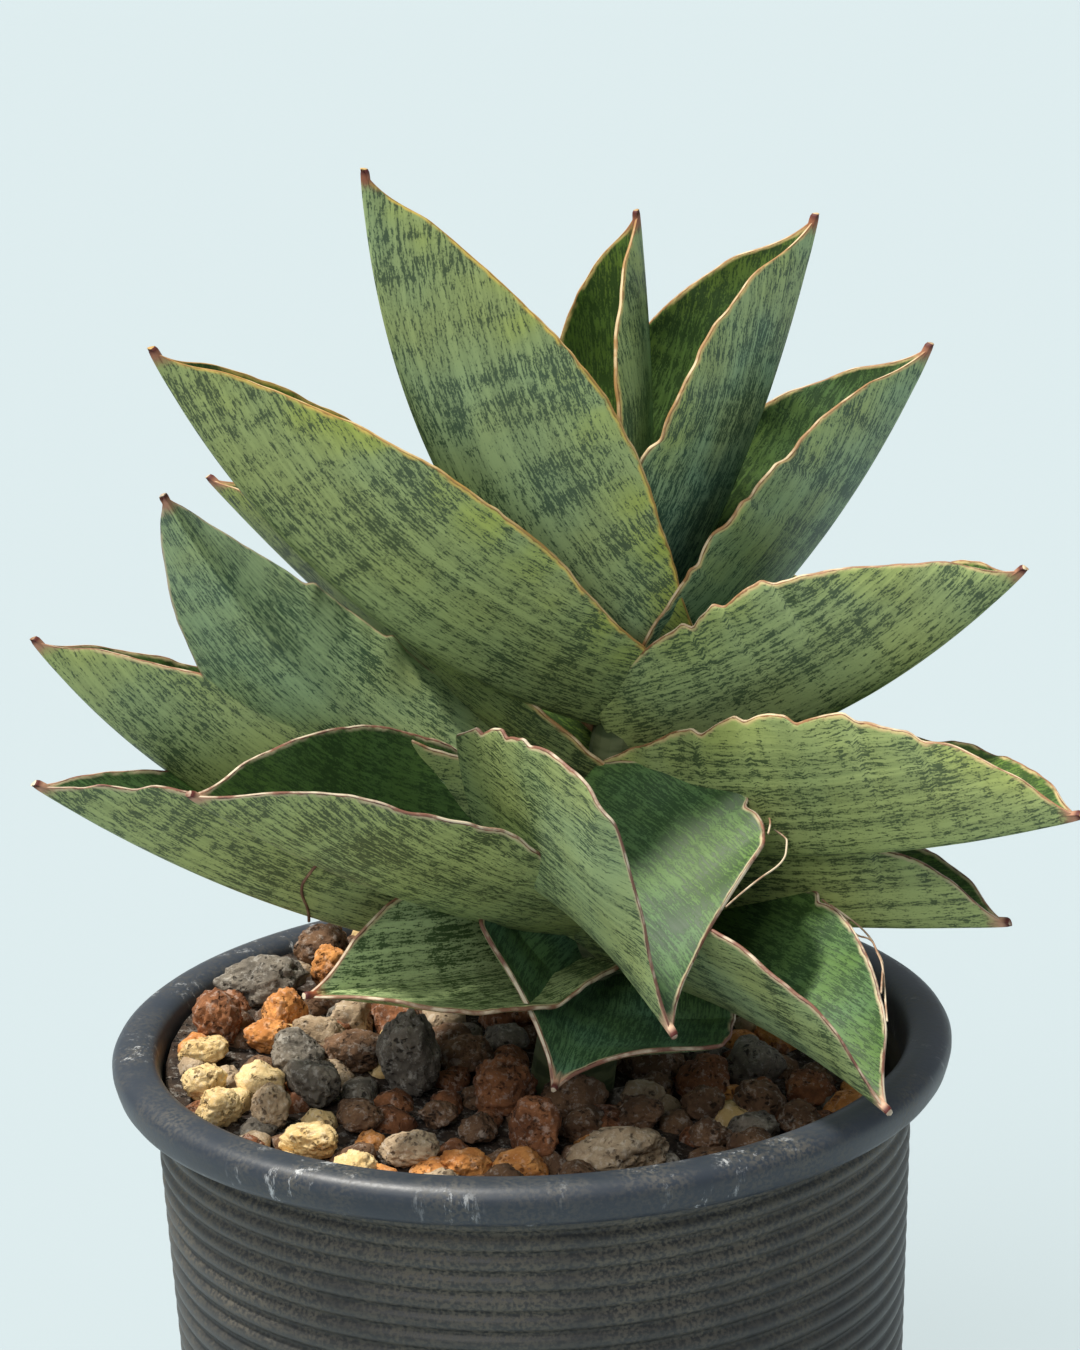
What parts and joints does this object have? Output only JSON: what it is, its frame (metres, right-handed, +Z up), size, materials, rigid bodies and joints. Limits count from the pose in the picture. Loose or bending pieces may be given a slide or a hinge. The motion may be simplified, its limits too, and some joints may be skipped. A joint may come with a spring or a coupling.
{
  "type": "potted snake plant",
  "caption": "Dwarf snake plant with a leaning rosette of short, boat-shaped folded leaves, in a plain round ribbed nursery pot topped with loose gravel.",
  "frame": {"origin": "centre of the pot's flat base", "axes": "+Z up along the pot's axis, +X to the plant's right, the side it leans to, and -Y to its front"},
  "size_m": [0.1747, 0.165, 0.2883],
  "materials": {
    "pot_plastic": "satin",
    "stem_flesh": "matte",
    "gravel": "matte",
    "leaf_flesh": "satin",
    "grey_stone": "matte",
    "brown_stone": "matte",
    "orange_stone": "matte",
    "rust_stone": "matte",
    "cream_stone": "matte",
    "pale_stone": "matte"
  },
  "bodies": {
    "root": {"pot": "pot_plastic", "stem": "stem_flesh", "gravel_bed": "gravel", "leaf_01": "leaf_flesh", "leaf_02": "leaf_flesh", "leaf_03": "leaf_flesh", "leaf_04": "leaf_flesh", "leaf_05": "leaf_flesh", "leaf_06": "leaf_flesh", "leaf_07": "leaf_flesh", "leaf_08": "leaf_flesh", "leaf_09": "leaf_flesh", "leaf_10": "leaf_flesh", "leaf_11": "leaf_flesh", "leaf_12": "leaf_flesh", "leaf_13": "leaf_flesh", "leaf_14": "leaf_flesh", "leaf_15": "leaf_flesh", "leaf_16": "leaf_flesh", "leaf_17": "leaf_flesh", "leaf_18": "leaf_flesh", "leaf_19": "leaf_flesh", "leaf_20": "leaf_flesh", "leaf_21": "leaf_flesh", "leaf_22": "leaf_flesh", "leaf_23": "leaf_flesh", "leaf_24": "leaf_flesh", "leaf_25": "leaf_flesh", "stone_01": "grey_stone", "stone_02": "brown_stone", "stone_03": "orange_stone", "stone_04": "orange_stone", "stone_05": "rust_stone", "stone_06": "cream_stone", "stone_07": "orange_stone", "stone_08": "grey_stone", "stone_09": "cream_stone", "stone_10": "cream_stone", "stone_11": "pale_stone", "stone_12": "grey_stone", "stone_13": "cream_stone", "stone_14": "brown_stone", "stone_15": "grey_stone", "stone_16": "brown_stone", "stone_17": "brown_stone", "stone_18": "rust_stone", "stone_19": "brown_stone", "stone_20": "brown_stone", "stone_21": "pale_stone", "stone_22": "orange_stone", "stone_23": "cream_stone", "stone_24": "rust_stone", "stone_25": "pale_stone", "stone_26": "brown_stone", "stone_27": "brown_stone", "stone_28": "brown_stone", "stone_29": "brown_stone", "stone_30": "rust_stone", "stone_31": "grey_stone", "stone_32": "orange_stone"}
  },
  "joints": []
}
